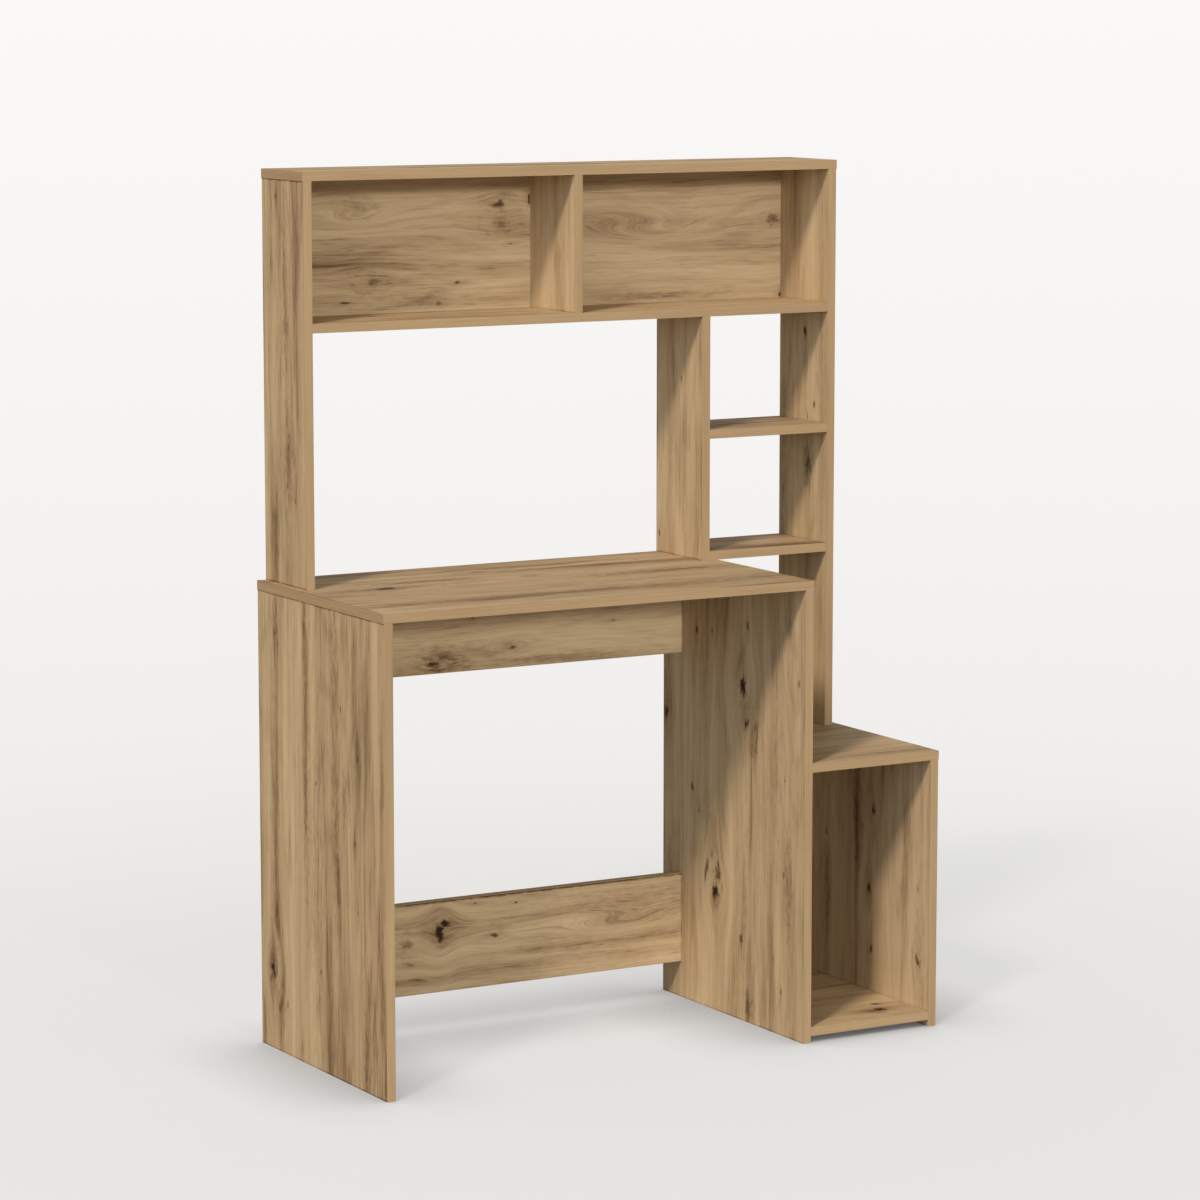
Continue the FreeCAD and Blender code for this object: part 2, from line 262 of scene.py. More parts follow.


# Knots and streaks in each board's print, and some painted shade on the stretcher and right upright
MARKS = {
    "desk_left_side": (
        streak(0.308, 0.015, 0.220, 0.018, 0.60), streak(0.560, -0.056, 0.260, 0.011, 0.80),
        streak(0.408, 0.167, 0.260, 0.014, 0.40), streak(0.060, -0.163, 0.080, 0.012, 0.60),
        streak(0.560, 0.046, 0.260, 0.011, 0.80), streak(0.452, -0.086, 0.045, 0.010, 0.70),
        streak(0.374, 0.000, 0.025, 0.008, 0.60), streak(0.684, 0.160, 0.050, 0.010, 0.70),
        streak(0.102, 0.015, 0.030, 0.012, 0.60), knot(0.684, 0.160, 0.008, 0.45),
        knot(0.594, -0.075, 0.004, 0.70), knot(0.523, -0.132, 0.009, 0.80),
        knot(0.463, 0.015, 0.004, 0.60), knot(0.388, -0.122, 0.005, 0.80),
        knot(0.230, 0.163, 0.009, 0.65), knot(0.282, -0.131, 0.004, 0.80),
        crack(0.133, 0.178, 0.017, 0.012, 1.25), knot(0.162, 0.002, 0.004, 0.70),
        eye(0.074, 0.156, 0.010, 0.65), knot(0.082, 0.135, 0.005, 0.50),
    ),
    "desk_right_side": (
        streak(0.605, -0.036, 0.060, 0.007, 0.90), streak(0.174, -0.038, 0.110, 0.009, 0.70),
        streak(0.535, -0.040, 0.035, 0.007, 0.90), streak(0.400, -0.100, 0.150, 0.006, 0.40),
        streak(0.360, -0.060, 0.160, 0.007, 0.30), streak(0.430, -0.140, 0.130, 0.008, 0.50),
        streak(0.251, -0.176, 0.075, 0.012, 0.90), streak(0.023, -0.057, 0.030, 0.012, 1.20),
        streak(0.500, 0.090, 0.200, 0.020, 0.40), streak(0.300, 0.060, 0.060, 0.016, 0.70),
        streak(0.500, -0.060, 0.070, 0.016, 0.70), streak(0.690, -0.176, 0.040, 0.012, 0.70),
        knot(0.640, 0.114, 0.006, 0.80), knot(0.644, 0.065, 0.004, 0.60),
        knot(0.665, -0.049, 0.006, 0.80), crack(0.567, -0.035, 0.020, 0.013, 1.25),
        crack(0.502, -0.042, 0.014, 0.006, 0.80), eye(0.504, -0.066, 0.010, 0.45),
        knot(0.488, 0.213, 0.011, 0.90), knot(0.593, -0.208, 0.005, 0.50),
        knot(0.369, 0.127, 0.007, 0.80), knot(0.333, 0.106, 0.005, 0.70),
        knot(0.265, 0.062, 0.009, 0.45), crack(0.201, 0.052, 0.017, 0.013, 1.25),
        crack(0.232, 0.066, 0.026, 0.005, 0.70), crack(0.236, 0.052, 0.026, 0.006, 0.75),
        knot(0.139, -0.032, 0.007, 0.80), knot(0.268, -0.164, 0.006, 0.50),
        knot(0.427, -0.167, 0.003, 0.60), knot(0.073, -0.158, 0.004, 0.60),
        knot(0.190, -0.182, 0.003, 0.60),
    ),
    "lower_stretcher": (
        streak(-0.190, 0.155, 0.120, 0.014, 0.35), streak(-0.276, 0.140, 0.035, 0.022, 0.45),
        # The thin streak at 0.2145 across is a dark line on the stretcher's top edge: painted shade from
        # the desktop above
        streak(-0.120, 0.2145, 0.600, 0.0025, 2.00), streak(0.160, 0.088, 0.130, 0.026, 0.40),
        streak(0.160, 0.140, 0.180, 0.080, 0.50), crack(-0.215, 0.161, 0.009, 0.018, 1.30),
        crack(-0.204, 0.170, 0.010, 0.006, 1.20), eye(-0.277, 0.147, 0.011, 0.55),
        knot(-0.272, 0.120, 0.008, 0.45), streak(-0.104, 0.155, 0.022, 0.014, 0.70),
        knot(-0.112, 0.147, 0.006, 0.85), knot(-0.149, 0.205, 0.003, 0.70),
        knot(-0.071, 0.198, 0.003, 0.80), knot(-0.254, 0.089, 0.003, 0.70),
    ),
    "rear_apron": (
        streak(-0.205, 0.618, 0.055, 0.022, 1.40), streak(0.013, 0.605, 0.150, 0.009, 0.75),
        streak(-0.350, 0.610, 0.080, 0.020, 0.50), streak(-0.080, 0.630, 0.040, 0.012, 0.90),
        streak(-0.140, 0.625, 0.060, 0.014, 0.80), crack(-0.224, 0.611, 0.014, 0.004, 0.90),
        crack(-0.208, 0.617, 0.012, 0.004, 0.80), knot(-0.075, 0.628, 0.008, 0.75),
        knot(0.116, 0.660, 0.004, 0.50), knot(-0.150, 0.682, 0.003, 0.50),
    ),
    "desktop": (
        streak(-0.137, -0.146, 0.330, 0.016, 0.95), streak(0.135, 0.004, 0.160, 0.016, 1.00),
        streak(-0.285, 0.075, 0.110, 0.012, 0.85), streak(-0.360, 0.032, 0.100, 0.010, 1.00),
        streak(0.060, 0.120, 0.170, 0.010, 0.85), crack(-0.375, 0.030, 0.024, 0.013, 1.25),
        knot(-0.155, 0.134, 0.009, 0.80), knot(-0.276, 0.020, 0.005, 0.40),
        knot(0.148, 0.143, 0.005, 0.50), knot(0.021, -0.130, 0.004, 0.40),
    ),
    "hutch_back_sheet": (
        streak(-0.199, 1.293, 0.150, 0.012, 0.30), streak(0.302, 1.318, 0.170, 0.010, 0.55),
        streak(0.300, 1.260, 0.200, 0.060, 0.18), streak(0.223, 1.194, 0.130, 0.007, 0.70),
        streak(-0.300, 1.240, 0.050, 0.014, 0.40), streak(-0.250, 1.203, 0.170, 0.010, 0.45),
        streak(-0.330, 1.357, 0.030, 0.014, 0.60), streak(-0.060, 1.345, 0.040, 0.028, 0.75),
        crack(-0.066, 1.356, 0.015, 0.010, 0.80), eye(-0.064, 1.330, 0.011, 0.55),
        crack(-0.009, 1.361, 0.003, 0.013, 1.00), eye(-0.323, 1.354, 0.009, 0.25),
        eye(-0.299, 1.234, 0.009, 0.60), crack(-0.348, 1.204, 0.012, 0.003, 0.80),
        knot(-0.144, 1.230, 0.004, 0.80), knot(-0.045, 1.294, 0.003, 0.70),
        knot(-0.178, 1.196, 0.005, 0.50), crack(0.463, 1.318, 0.013, 0.011, 0.60),
        crack(0.479, 1.190, 0.003, 0.006, 0.90),
    ),
    "hutch_left_upright": (
        streak(1.225, 0.142, 0.120, 0.010, 0.90), streak(0.970, 0.135, 0.080, 0.014, 1.10),
        streak(0.840, 0.180, 0.070, 0.010, 0.40), knot(1.380, 0.173, 0.005, 0.70),
        knot(0.984, 0.133, 0.006, 0.60), knot(0.900, 0.110, 0.004, 0.40),
    ),
    "hutch_right_upright": (
        streak(1.074, 0.142, 0.090, 0.009, 0.80), streak(0.908, 0.132, 0.050, 0.015, 1.40),
        # The wide streak at 0.800 darkens the upright below the top box over its whole depth: painted
        # shade
        streak(0.690, 0.150, 0.110, 0.012, 0.60), streak(0.800, 0.120, 0.340, 0.200, 0.44),
        crack(1.127, 0.143, 0.012, 0.006, 0.90), knot(1.008, 0.113, 0.006, 0.80),
        knot(0.988, 0.132, 0.005, 0.60), crack(0.905, 0.130, 0.028, 0.008, 0.80),
        knot(0.640, 0.150, 0.006, 0.70),
    ),
    "hutch_divider_upright": (
        streak(0.960, 0.183, 0.080, 0.010, 0.40), knot(0.794, 0.212, 0.004, 0.70),
        knot(1.060, 0.140, 0.004, 0.30),
    ),
    "cabinet_right_side": (
        streak(0.330, -0.010, 0.110, 0.016, 1.00), streak(0.187, 0.082, 0.070, 0.013, 0.80),
        streak(0.110, -0.198, 0.090, 0.012, 0.65), streak(0.210, -0.150, 0.060, 0.010, 0.50),
        knot(0.338, -0.056, 0.009, 0.85), knot(0.202, -0.046, 0.008, 0.90),
        knot(0.097, -0.054, 0.007, 0.80), eye(0.104, -0.194, 0.009, 0.80),
        knot(0.278, 0.089, 0.007, 0.40), knot(0.225, -0.192, 0.004, 0.40),
    ),
    "cabinet_bottom": (
        streak(0.439, -0.165, 0.040, 0.014, 0.60), streak(0.330, -0.100, 0.100, 0.012, 0.50),
        crack(0.432, -0.178, 0.020, 0.015, 1.15), knot(0.448, -0.160, 0.009, 0.80),
        knot(0.330, 0.060, 0.006, 0.60),
    ),
    "cabinet_top": (
        streak(0.400, 0.120, 0.120, 0.012, 0.60), streak(0.380, -0.196, 0.130, 0.006, 0.70),
        knot(0.390, 0.030, 0.006, 0.70),
    ),
    "hutch_top": (
        streak(0.050, 0.140, 0.260, 0.014, 0.60), knot(-0.260, 0.130, 0.007, 0.80),
        knot(0.300, 0.180, 0.006, 0.60),
    ),
    "hutch_shelf": (
        streak(-0.100, 0.150, 0.180, 0.010, 0.50), knot(0.160, 0.120, 0.005, 0.60),
        knot(-0.330, 0.170, 0.006, 0.70),
    ),
    "hutch_centre_divider": (
        streak(1.290, 0.130, 0.080, 0.012, 0.50),
    ),
    "side_shelf_middle": (
        streak(0.360, 0.140, 0.090, 0.010, 0.50),
    ),
    "side_shelf_lower": (
        streak(0.380, 0.170, 0.090, 0.010, 0.50), knot(0.330, 0.120, 0.005, 0.60),
    ),
}
# Nested arches, by their place and their reach along and across the grain
ARCHES = {
    "lower_stretcher": ((0.110, 0.158, 0.110, 0.024),),
    "hutch_back_sheet": ((0.215, 1.322, 0.130, 0.028), (-0.340, 1.352, 0.050, 0.018)),
    "desktop": ((-0.050, 0.060, 0.160, 0.030),),
    "hutch_top": ((0.200, 0.150, 0.140, 0.026),),
}
# Boards whose print is paler or darker over all
TONES = {
    "hutch_back_sheet": 0.16,
    "desk_right_side": 0.16,
    "lower_stretcher": 0.09,
    "hutch_left_upright": 0.05,
    "hutch_shelf": 0.09,
    "desktop": 0.01,
    "rear_apron": 0.07,
    "cabinet_bottom": 0.10,
    "cabinet_top": 0.06,
    "hutch_divider_upright": 0.06,
    # Raised tone, with that wide streak lower down, leaves the right upright paler in the top box:
    # painted light
    "hutch_right_upright": 0.20,
    "hutch_centre_divider": 0.34,
    "cabinet_right_side": 0.10,
    "side_shelf_middle": -0.13,
    "side_shelf_lower": -0.11,
}
BOARD_AXES = {
    "desktop": FLAT,
    "desk_left_side": UPRIGHT,
    "desk_right_side": UPRIGHT,
    "rear_apron": RAIL,
    "lower_stretcher": RAIL,
    "cabinet_top": FLAT,
    "cabinet_bottom": FLAT,
    "cabinet_right_side": UPRIGHT,
    "hutch_left_upright": UPRIGHT,
    "hutch_divider_upright": UPRIGHT,
    "hutch_right_upright": UPRIGHT,
    "hutch_top": FLAT,
    "hutch_shelf": FLAT,
    "hutch_centre_divider": UPRIGHT,
    "side_shelf_middle": FLAT,
    "side_shelf_lower": FLAT,
}
BACK_SHEET = "hutch_back_sheet"
# How far apart the boards lie in the print, so that no two show the same figure
PRINT_STEP = (1.73, 0.91, 0.57)

# Sockets of a node group by kind, and those that every finish gives
SOCKETS = {"vector": "NodeSocketVector", "number": "NodeSocketFloat", "colour": "NodeSocketColor"}
FINISH = {"Color": "colour", "Roughness": "number", "Height": "number"}


def paint(colour):
    """A colour with its full opacity."""
    return (*colour, 1.0)


class Graph:
    """Adds nodes to a shader tree. What feeds an input is a plain value or another node's output."""

    def __init__(self, tree):
        self.tree = tree

    def add(self, kind, feeds=(), **settings):
        """A node of that kind, with its settings made before its inputs are fed."""
        node = self.tree.nodes.new(kind)
        for name, value in settings.items():
            setattr(node, name, value)
        for key, value in dict(feeds).items():
            if isinstance(value, bpy.types.NodeSocket):
                self.tree.links.new(value, node.inputs[key])
            else:
                node.inputs[key].default_value = value
        return node

    def group(self, tree, feeds):
        """The outputs of a node group that is fed with those values."""
        return self.add("ShaderNodeGroup", feeds, node_tree=tree).outputs

    def place(self):
        """The place in the part's frame."""
        return self.add("ShaderNodeTexCoord").outputs["Object"]

    def normal(self, axis):
        """How far a face looks along an axis, from -1 to 1."""
        return self.split(self.add("ShaderNodeTexCoord").outputs["Normal"])[axis]

    def math(self, operation, *values, clamp=False):
        """A sum on numbers."""
        node = self.add("ShaderNodeMath", enumerate(values), operation=operation, use_clamp=clamp)
        return node.outputs[0]

    def vector(self, operation, *values):
        """A sum on vectors."""
        return self.add("ShaderNodeVectorMath", enumerate(values), operation=operation).outputs[0]

    def split(self, vector):
        """The three parts of a vector."""
        return self.add("ShaderNodeSeparateXYZ", {0: vector}).outputs

    def join(self, x, y, z):
        """A vector from its three parts."""
        return self.add("ShaderNodeCombineXYZ", {0: x, 1: y, 2: z}).outputs[0]

    def even(self, value):
        """A vector with the same number in its three parts."""
        return self.join(value, value, value)

    def square(self, value):
        """A number times itself."""
        return self.math("POWER", value, 2.0)

    def fade(self, value, fall):
        """1 where the value is 0, and less and less as it grows."""
        return self.math("EXPONENT", self.math("MULTIPLY", value, -fall))

    def smooth(self, value, low, high):
        """Rises smoothly from 0 to 1 while the value goes from low to high."""
        feeds = {"Value": value, "From Min": low, "From Max": high}
        return self.add("ShaderNodeMapRange", feeds, interpolation_type="SMOOTHSTEP").outputs[0]

    def noise(self, vector, waves, detail, roughness):
        """Cloudy noise about its middle, with so many waves to the metre on each axis."""
        scaled = self.vector("MULTIPLY", vector, waves)
        feeds = {"Vector": scaled, "Scale": 1.0, "Detail": detail, "Roughness": roughness}
        return self.add("ShaderNodeTexNoise", feeds).outputs[0]

    def swing(self, noise):
        """How far a noise lies from its middle, either way."""
        return self.math("SUBTRACT", noise, NOISE_MIDDLE)

    # A Mix node's sockets go by number, because its kinds of data share their names
    def mix(self, share, first, second):
        """A colour between two others."""
        return self.add("ShaderNodeMix", {0: share, 6: first, 7: second}, data_type="RGBA").outputs[2]

    def mix_number(self, share, first, second):
        """A number between two others."""
        return self.add("ShaderNodeMix", {0: share, 2: first, 3: second}, data_type="FLOAT").outputs[0]

    def mix_vector(self, share, first, second):
        """A vector between two others."""
        return self.add("ShaderNodeMix", {0: share, 4: first, 5: second}, data_type="VECTOR").outputs[1]

    def ramp(self, value, stops):
        """Colours that a value runs through, each at its own stop."""
        node = self.add("ShaderNodeValToRGB", {0: value})
        elements = node.color_ramp.elements
        elements[0].position = stops[0][0]
        elements[-1].position = stops[-1][0]
        for position, _ in stops[1:-1]:
            elements.new(position)
        for element, (_, colour) in zip(elements, stops):
            element.color = paint(colour)
        return node.outputs[0]

    def two_tone(self, value, dark, pale):
        """A noise turned into the colours between two tones."""
        return self.ramp(value, tuple(zip(TWO_TONE_RANGE, (dark, pale))))


def new_group(name, inputs, outputs):
    """An empty node group with its sockets. Gives its graph and the outputs of its input node."""
    tree = bpy.data.node_groups.new(name, "ShaderNodeTree")
    for side, sockets in (("INPUT", inputs), ("OUTPUT", outputs)):
        for socket, kind in sockets.items():
            tree.interface.new_socket(socket, in_out=side, socket_type=SOCKETS[kind])
    graph = Graph(tree)
    return graph, graph.add("NodeGroupInput").outputs


def make_mark_group():
    """A knot or a streak: it shades the wood round it, and the grain flows round its heart."""
    added = ("Shade added", "Core added", "Ring added")
    numbers = ("Shade", "Core", "Along", "Across", "Length", "Width", *added)
    inputs = {"Vector": "vector", "Warp": "vector", **{name: "number" for name in numbers}}
    outputs = {"Vector": "vector", "Shade": "number", "Core": "number"}
    graph, given = new_group("oak_mark", inputs, outputs)
    along, across, through = graph.split(given["Vector"])
    warp_along, warp_across, _ = graph.split(given["Warp"])
    off_across = graph.math("SUBTRACT", across, given["Across"])
    share_along = graph.math("DIVIDE", graph.math("SUBTRACT", along, given["Along"]), given["Length"])
    share_across = graph.math("DIVIDE", off_across, given["Width"])
    # Shade and heart, with ragged outlines
    square_along = graph.square(graph.math("ADD", share_along, warp_along))
    square_across = graph.square(graph.math("ADD", share_across, warp_across))
    reach = graph.math("ADD", square_along, square_across)
    bell = graph.fade(reach, 1.0)
    heart = graph.fade(graph.math("POWER", reach, HEART_POWER), HEART_FALL)
    # Tails along the grain
    fall_across = graph.math("MULTIPLY", square_across, -TAIL_FALL_ACROSS)
    fall = graph.math("MULTIPLY_ADD", square_along, -TAIL_FALL_ALONG, fall_across)
    tail_shade = graph.math("MULTIPLY", given["Core added"], TAIL_SHADE)
    tail = graph.math("MULTIPLY", graph.math("EXPONENT", fall), tail_shade)
    # Broken ring round an eye
    ring_offset = graph.math("SUBTRACT", graph.math("SQRT", reach), EYE_RING_REACH)
    ring = graph.fade(graph.square(ring_offset), EYE_RING_FALL)
    broken = graph.smooth(warp_along, *EYE_RING_BREAKS)
    ringed = graph.math("MULTIPLY", graph.math("MULTIPLY", ring, broken), given["Ring added"])
    # Grain that flows round the heart
    around = graph.math("ADD", graph.square(share_along), graph.square(share_across))
    slender = graph.math("MINIMUM", graph.math("DIVIDE", given["Length"], given["Width"]), 1.0)
    bend = graph.math("MULTIPLY", given["Core added"], slender)
    push = graph.math("MULTIPLY", graph.math("MULTIPLY", off_across, graph.fade(around, BEND_FALL)), bend)
    pushed = graph.math("MULTIPLY_ADD", push, -BEND_DEPTH, across)
    darkest = graph.math("MAXIMUM", graph.math("MAXIMUM", bell, tail), ringed)
    shade = graph.math("MULTIPLY", darkest, given["Shade added"])
    core = graph.math("MULTIPLY", heart, given["Core added"])
    graph.add("NodeGroupOutput", {
        "Vector": graph.join(along, pushed, through),
        "Shade": graph.math("MAXIMUM", given["Shade"], shade),
        "Core": graph.math("MAXIMUM", given["Core"], core),
    })
    return graph.tree


def make_arch_group():
    """Nested arches, where the rings of the tree come to the face at a slant."""
    numbers = ("Shade", "Along", "Across", "Length", "Width")
    inputs = {"Vector": "vector", **{name: "number" for name in numbers}}
    graph, given = new_group("oak_arch", inputs, {"Vector": "vector", "Shade": "number"})
    along, across, through = graph.split(given["Vector"])
    off_along = graph.math("SUBTRACT", along, given["Along"])
    off_across = graph.math("SUBTRACT", across, given["Across"])
    share_along = graph.math("DIVIDE", off_along, given["Length"])
    share_across = graph.math("DIVIDE", off_across, given["Width"])
    reach = graph.math("ADD", graph.square(share_along), graph.square(share_across))
    weight = graph.fade(reach, 1.0)
    # Two straight arms that meet in a round tip
    arms = graph.math("SQRT", graph.math("MULTIPLY_ADD", off_across, off_across, ARCH_TIP ** 2))
    slope_across = graph.math("MULTIPLY", arms, ARCH_SLOPE_ACROSS)
    ring = graph.math("MULTIPLY_ADD", off_along, ARCH_SLOPE_ALONG, slope_across)
    noise = graph.noise(given["Vector"], *ARCH_NOISE)
    ragged = graph.math("MULTIPLY_ADD", noise, ARCH_RAGGED, ring)
    wave = graph.math("SINE", graph.math("MULTIPLY", ragged, math.tau / ARCH_STEP))
    lines = graph.smooth(wave, 0.0, 1.0)
    rings = graph.math("MULTIPLY", lines, graph.math("MULTIPLY", weight, ARCH_SHADE))
    arched = graph.math("ADD", ring, given["Across"])
    graph.add("NodeGroupOutput", {
        "Vector": graph.join(along, graph.mix_number(weight, across, arched), through),
        "Shade": graph.math("MAXIMUM", given["Shade"], rings),
    })
    return graph.tree


def make_figure_group():
    """The print itself: tones, bands, smoke, rings, veins, lines, fibres and pores along the grain."""
    inputs = {"Vector": "vector", "Shade": "number", "Core": "number", "Tone": "number"}
    graph, given = new_group("oak_figure", inputs, FINISH)
    along, across, through = graph.split(given["Vector"])
    wander = graph.swing(graph.noise(given["Vector"], *WANDER_NOISE))
    place = graph.join(along, graph.math("MULTIPLY_ADD", wander, WANDER_REACH, across), through)
    tone = graph.noise(place, *TONE_NOISE)
    band = graph.noise(place, *BAND_NOISE)
    smoke = graph.smooth(graph.noise(place, *SMOKE_NOISE), *SMOKE_RANGE)
    vein = graph.noise(place, *VEIN_NOISE)
    line = graph.noise(place, *LINE_NOISE)
    fibre = graph.noise(place, *FIBRE_NOISE)
    pore = graph.smooth(graph.noise(place, *PORE_NOISE), *PORE_RANGE)
    # Growth rings, as the contour lines of a slow noise
    hill = graph.noise(place, *HILL_NOISE)
    phase = graph.math("MULTIPLY_ADD", hill, RING_COUNT, graph.math("MULTIPLY", line, RING_RAGGED))
    ring = graph.smooth(graph.math("SINE", graph.math("MULTIPLY", phase, math.tau)), *RING_RANGE)
    # Lightness, less the shade of the marks
    plain = graph.math("ADD", given["Tone"], PLAIN_LIGHT)
    light = graph.math("MULTIPLY_ADD", smoke, -SMOKE_WEIGHT, plain)
    layers = (
        (tone, TONE_WEIGHT),
        (band, BAND_WEIGHT),
        (vein, VEIN_WEIGHT),
        (line, LINE_WEIGHT),
        (fibre, FIBRE_WEIGHT),
    )
    for noise, weight in layers:
        light = graph.math("MULTIPLY_ADD", graph.swing(noise), weight, light)
    for dark, weight in ((pore, PORE_WEIGHT), (ring, RING_WEIGHT)):
        light = graph.math("MULTIPLY_ADD", dark, -weight, light)
    lined = graph.math("MULTIPLY_ADD", line, SHADE_BY_LINE, SHADE_EVEN)
    veined = graph.math("MULTIPLY_ADD", vein, SHADE_BY_VEIN, lined)
    light = graph.math("SUBTRACT", light, graph.math("MULTIPLY", given["Shade"], veined))
    # Colour and relief
    wood = graph.ramp(graph.math("MULTIPLY", light, OAK_RANGE, clamp=True), OAK_STOPS)
    halo = graph.mix(graph.smooth(given["Core"], *HALO_RANGE), wood, paint(HALO_COLOUR))
    height = graph.math("MULTIPLY_ADD", fibre, FIBRE_RISE, graph.math("MULTIPLY", line, LINE_RISE))
    height = graph.math("MULTIPLY_ADD", pore, PORE_RISE, height)
    graph.add("NodeGroupOutput", {
        "Color": graph.mix(graph.smooth(given["Core"], *KNOT_RANGE), halo, paint(KNOT_COLOUR)),
        "Roughness": graph.math("MULTIPLY_ADD", line, OAK_ROUGHNESS_BY_LINE, OAK_ROUGHNESS),
        "Height": graph.math("MULTIPLY_ADD", given["Core"], KNOT_RISE, height),
    })
    return graph.tree


def make_chip_group():
    """Raw particle board: pressed chips of many browns, as on edges without a strip and inside bores."""
    graph, given = new_group("particle_board", {"Vector": "vector"}, FINISH)
    scaled = graph.vector("MULTIPLY", given["Vector"], CHIP_WAVES)
    cells = graph.add("ShaderNodeTexVoronoi", {"Vector": scaled, "Scale": 1.0})
    chip = graph.split(cells.outputs["Color"])[0]
    fine = graph.noise(given["Vector"], *CHIP_NOISE)
    tone = graph.math("MULTIPLY_ADD", fine, CHIP_NOISE_WEIGHT, graph.math("MULTIPLY", chip, CHIP_WEIGHT))
    graph.add("NodeGroupOutput", {
        "Color": graph.ramp(tone, CHIP_STOPS),
        "Roughness": graph.math("MULTIPLY_ADD", fine, CHIP_ROUGHNESS_BY_NOISE, CHIP_ROUGHNESS),
        "Height": tone,
    })
    return graph.tree


def new_material(name):
    """A material with a principled shader. Gives the material, its graph and the shader."""
    material = bpy.data.materials.new(name)
    material.use_nodes = True
    graph = Graph(material.node_tree)
    shader = material.node_tree.nodes["Principled BSDF"]
    shader.inputs["Specular IOR Level"].default_value = GLOSS_LEVEL
    return material, graph, shader


def finish_shader(graph, shader, colour, roughness, height, bump):
    """Feeds a principled shader, with relief of that depth and strength."""
    depth, strength = bump
    relief = graph.add("ShaderNodeBump", {"Strength": strength, "Distance": depth, "Height": height})
    feeds = {"Base Color": colour, "Roughness": roughness, "Normal": relief.outputs[0]}
    for socket, value in feeds.items():
        graph.tree.links.new(value, shader.inputs[socket])


def grain_place(graph, place, axes):
    """The place on the board, with X along the grain, Y across it and Z through the board."""
    parts = graph.split(place)
    return graph.join(*(parts[axis] for axis in axes))


def rim_shade(graph, value, low, high, width, shade):
    """Shade that fades away from two limits of a coordinate."""
    rim = graph.math("MINIMUM", graph.math("SUBTRACT", value, low), graph.math("SUBTRACT", high, value))
    return graph.math("MULTIPLY", graph.math("SUBTRACT", 1.0, graph.smooth(rim, 0.0, width)), shade)


def seams_and_painted_end_shade(graph, node, axes, vector):
    """Fine dark lines by the strips; at the ends, a joint line and painted shade from the next board."""
    low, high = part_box(node)
    along, across, _ = graph.split(vector)
    sides = rim_shade(graph, across, low[axes[1]], high[axes[1]], SEAM_WIDTH, SEAM_SHADE)
    # The ends: a dark joint line, and painted shade where the next board meets or overhangs this one
    ends = rim_shade(graph, along, low[axes[0]], high[axes[0]], END_JOINT_AND_PAINTED_SHADE_WIDTH, END_JOINT_AND_PAINTED_SHADE)
    return graph.math("MAXIMUM", sides, ends)


def mark_warp(graph, vector):
    """Small shifts along and across the grain that make the outlines of marks ragged."""
    feeds = {
        "Vector": graph.vector("MULTIPLY", vector, MARK_WARP_WAVES),
        "Scale": 1.0,
        "Detail": MARK_WARP_DETAIL,
        "Roughness": MARK_WARP_ROUGHNESS,
    }
    ragged = graph.add("ShaderNodeTexNoise", feeds).outputs["Color"]
    spread = (2 * MARK_WARP, 2 * MARK_WARP, 0.0)
    return graph.vector("MULTIPLY_ADD", ragged, spread, (-MARK_WARP, -MARK_WARP, 0.0))


def add_oak(graph, node, axes, step):
    """The print of one board, with its own knots, streaks and arches."""
    vector = grain_place(graph, graph.place(), axes)
    # Dark seam lines, with painted shade at the board's ends
    shade = seams_and_painted_end_shade(graph, node, axes, vector)
    core = 0.0
    warp = mark_warp(graph, vector)
    for along, across, length, width, shade_added, core_added, ring_added in MARKS[node]:
        outputs = graph.group(mark_group, {
            "Vector": vector, "Warp": warp, "Shade": shade, "Core": core,
            "Along": along, "Across": across, "Length": length, "Width": width,
            "Shade added": shade_added, "Core added": core_added, "Ring added": ring_added,
        })
        vector, shade, core = outputs["Vector"], outputs["Shade"], outputs["Core"]
    for along, across, length, width in ARCHES.get(node, ()):
        outputs = graph.group(arch_group, {
            "Vector": vector, "Shade": shade,
            "Along": along, "Across": across, "Length": length, "Width": width,
        })
        vector, shade = outputs["Vector"], outputs["Shade"]
    offset = [step * size for size in PRINT_STEP]
    vector = graph.vector("ADD", vector, offset)
    feeds = {"Vector": vector, "Shade": shade, "Core": core, "Tone": TONES.get(node, 0.0)}
    return graph.group(figure_group, feeds)


def facing_share(graph, axis):
    """1 where a face looks along an axis, either way, and 0 on the other faces."""
    return graph.smooth(graph.math("ABSOLUTE", graph.normal(axis)), *FACING_RANGE)


def lay_print(graph, shader, printed, core, oak):
    """Feeds a shader with the oak print where it lies, and with the bare core elsewhere."""
    colour = graph.mix(printed, core["Color"], oak["Color"])
    roughness = graph.mix_number(printed, core["Roughness"], oak["Roughness"])
    height = graph.mix_number(printed, core["Height"], oak["Height"])
    finish_shader(graph, shader, colour, roughness, height, BOARD_BUMP)


def board_material(node, axes, step):
    """Oak print on a board's two faces, and raw particle board on its edges and in its bores."""
    material, graph, shader = new_material(node + "_finish")
    oak = add_oak(graph, node, axes, step)
    raw = graph.group(chip_group, {"Vector": graph.place()})
    lay_print(graph, shader, facing_share(graph, axes[2]), raw, oak)
    return material


def back_sheet_material(step):
    """Oak print on the front of the thin sheet, and plain brown hardboard behind."""
    material, graph, shader = new_material(BACK_SHEET + "_finish")
    oak = add_oak(graph, BACK_SHEET, RAIL, step)
    felt = graph.noise(graph.place(), *FELT_NOISE)
    hardboard = {
        "Color": graph.two_tone(felt, FELT_DARK, FELT_PALE),
        "Roughness": graph.math("MULTIPLY_ADD", felt, FELT_ROUGHNESS_BY_NOISE, FELT_ROUGHNESS),
        "Height": felt,
    }
    forward = graph.math("MULTIPLY", graph.normal(RAIL[2]), -1.0)
    lay_print(graph, shader, graph.smooth(forward, *FACING_RANGE), hardboard, oak)
    return material


